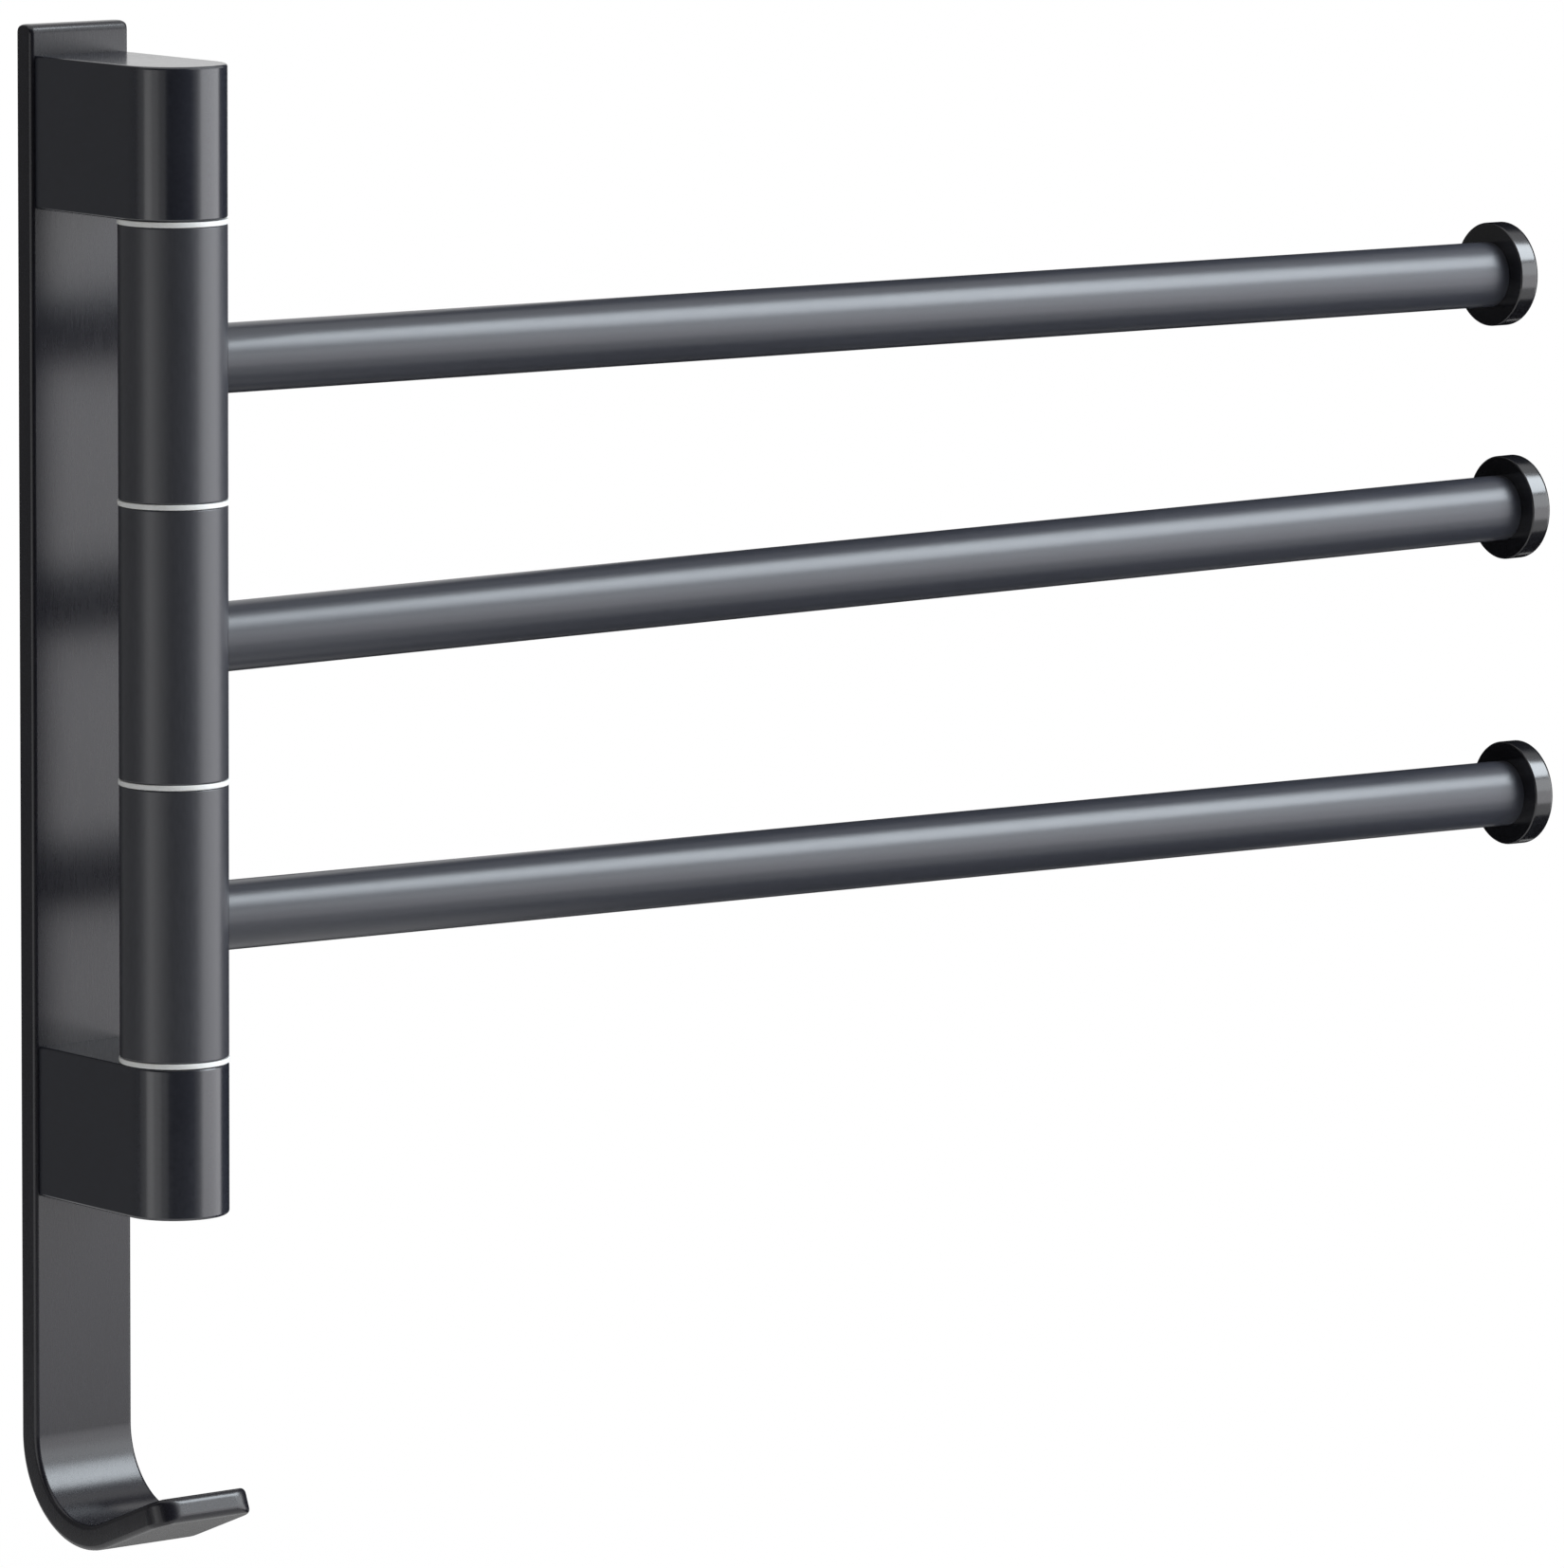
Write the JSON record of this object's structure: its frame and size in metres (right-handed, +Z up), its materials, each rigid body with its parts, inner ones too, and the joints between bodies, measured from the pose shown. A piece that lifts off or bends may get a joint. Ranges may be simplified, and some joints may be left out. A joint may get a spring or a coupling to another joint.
{
  "type": "swing arm towel bar",
  "caption": "Wall-mounted swing arm towel bar: capped tube arms turn on a vertical pivot rod between two brackets on a flat back plate that ends in a coat hook.",
  "frame": {"origin": "on the wall face, midway between the two wall screws and level with the middle arm", "axes": "+X along the wall, the way the arms are stored; +Y into the wall; +Z up"},
  "size_m": [0.4066, 0.0814, 0.3503],
  "materials": {
    "plate_black": "fine satin powder coat",
    "bracket_black": "gloss enamel",
    "sleeve_black": "satin powder coat",
    "tube_black": "satin powder coat over drawn tube",
    "cap_black": "moulded gloss",
    "white_nylon": "natural nylon",
    "bush_nylon": "natural nylon",
    "bright_steel": "ground bar",
    "plated_steel": "zinc plated",
    "bare_aluminium": "turned"
  },
  "bodies": {
    "wall_unit": {"back_plate": "plate_black", "upper_bracket": "bracket_black", "lower_bracket": "bracket_black", "bracket_screws": "plated_steel", "pivot_rod": "bright_steel", "rod_plug": "plated_steel", "pivot_washer_1": "white_nylon", "pivot_washer_2": "white_nylon", "pivot_washer_3": "white_nylon", "pivot_washer_4": "white_nylon", "upper_wall_clip": "plated_steel", "lower_wall_clip": "plated_steel", "lock_grub_screws": "plated_steel"},
    "top_arm": {"top_arm_sleeve": "sleeve_black", "top_arm_upper_bush": "bush_nylon", "top_arm_lower_bush": "bush_nylon", "top_arm_root_plug": "bare_aluminium", "top_arm_tube": "tube_black", "top_arm_end_cap": "cap_black"},
    "middle_arm": {"middle_arm_sleeve": "sleeve_black", "middle_arm_upper_bush": "bush_nylon", "middle_arm_lower_bush": "bush_nylon", "middle_arm_root_plug": "bare_aluminium", "middle_arm_tube": "tube_black", "middle_arm_end_cap": "cap_black"},
    "bottom_arm": {"bottom_arm_sleeve": "sleeve_black", "bottom_arm_upper_bush": "bush_nylon", "bottom_arm_lower_bush": "bush_nylon", "bottom_arm_root_plug": "bare_aluminium", "bottom_arm_tube": "tube_black", "bottom_arm_end_cap": "cap_black"}
  },
  "joints": [
    {"name": "top_arm_swing", "type": "hinge", "parent": "wall_unit", "child": "top_arm", "pos_m": [0, -0.042, 0.064], "axis": [0, 0, -1], "range_deg": [-2.6, 177.4]},
    {"name": "middle_arm_swing", "type": "hinge", "parent": "wall_unit", "child": "middle_arm", "pos_m": [0, -0.042, 0], "axis": [0, 0, -1], "range_deg": [-3.5, 176.5]},
    {"name": "bottom_arm_swing", "type": "hinge", "parent": "wall_unit", "child": "bottom_arm", "pos_m": [0, -0.042, -0.064], "axis": [0, 0, -1], "range_deg": [-3.9, 176.1]}
  ]
}
